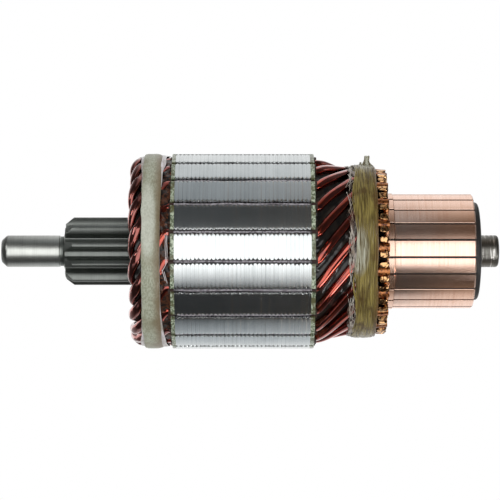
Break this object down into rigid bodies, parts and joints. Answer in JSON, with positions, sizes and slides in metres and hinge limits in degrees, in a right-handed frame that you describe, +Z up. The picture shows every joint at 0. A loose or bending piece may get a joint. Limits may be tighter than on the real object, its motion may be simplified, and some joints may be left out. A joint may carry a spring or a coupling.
{
  "type": "motor armature",
  "caption": "Wound motor armature: geared steel shaft, slotted laminated core, red enamelled hairpin winding with taped ends, and a copper commutator with risers.",
  "frame": {"origin": "on the shaft's axis, at the middle of the drive-end journal", "axes": "+X along the shaft, from the drive end to the commutator; +Z up; -Y towards the viewer"},
  "size_m": [0.1493, 0.0586, 0.0586],
  "materials": {
    "shaft_steel": "ground",
    "core_steel": "turned",
    "fibre_board": "matte",
    "slot_paper": "matte",
    "enamelled_copper": "glossy enamel",
    "commutator_copper": "turned",
    "phenolic": "satin",
    "glass_tape": "resin-soaked",
    "glass_cord": "resin-soaked"
  },
  "bodies": {
    "root": {"shaft": "shaft_steel", "core_stack": "core_steel", "drive_end_insulator": "fibre_board", "commutator_end_insulator": "fibre_board", "slot_liners": "slot_paper", "coil_01": "enamelled_copper", "coil_02": "enamelled_copper", "coil_03": "enamelled_copper", "coil_04": "enamelled_copper", "coil_05": "enamelled_copper", "coil_06": "enamelled_copper", "coil_07": "enamelled_copper", "coil_08": "enamelled_copper", "coil_09": "enamelled_copper", "coil_10": "enamelled_copper", "coil_11": "enamelled_copper", "coil_12": "enamelled_copper", "coil_13": "enamelled_copper", "coil_14": "enamelled_copper", "coil_15": "enamelled_copper", "coil_16": "enamelled_copper", "coil_17": "enamelled_copper", "coil_18": "enamelled_copper", "coil_19": "enamelled_copper", "coil_20": "enamelled_copper", "coil_21": "enamelled_copper", "commutator_bar_01": "commutator_copper", "commutator_bar_02": "commutator_copper", "commutator_bar_03": "commutator_copper", "commutator_bar_04": "commutator_copper", "commutator_bar_05": "commutator_copper", "commutator_bar_06": "commutator_copper", "commutator_bar_07": "commutator_copper", "commutator_bar_08": "commutator_copper", "commutator_bar_09": "commutator_copper", "commutator_bar_10": "commutator_copper", "commutator_bar_11": "commutator_copper", "commutator_bar_12": "commutator_copper", "commutator_bar_13": "commutator_copper", "commutator_bar_14": "commutator_copper", "commutator_bar_15": "commutator_copper", "commutator_bar_16": "commutator_copper", "commutator_bar_17": "commutator_copper", "commutator_bar_18": "commutator_copper", "commutator_bar_19": "commutator_copper", "commutator_bar_20": "commutator_copper", "commutator_bar_21": "commutator_copper", "commutator_moulding": "phenolic", "drive_end_band": "glass_tape", "commutator_end_band": "glass_tape", "cord_wrap": "glass_cord", "drive_end_sleeve": "slot_paper", "commutator_end_sleeve": "slot_paper"}
  },
  "joints": []
}
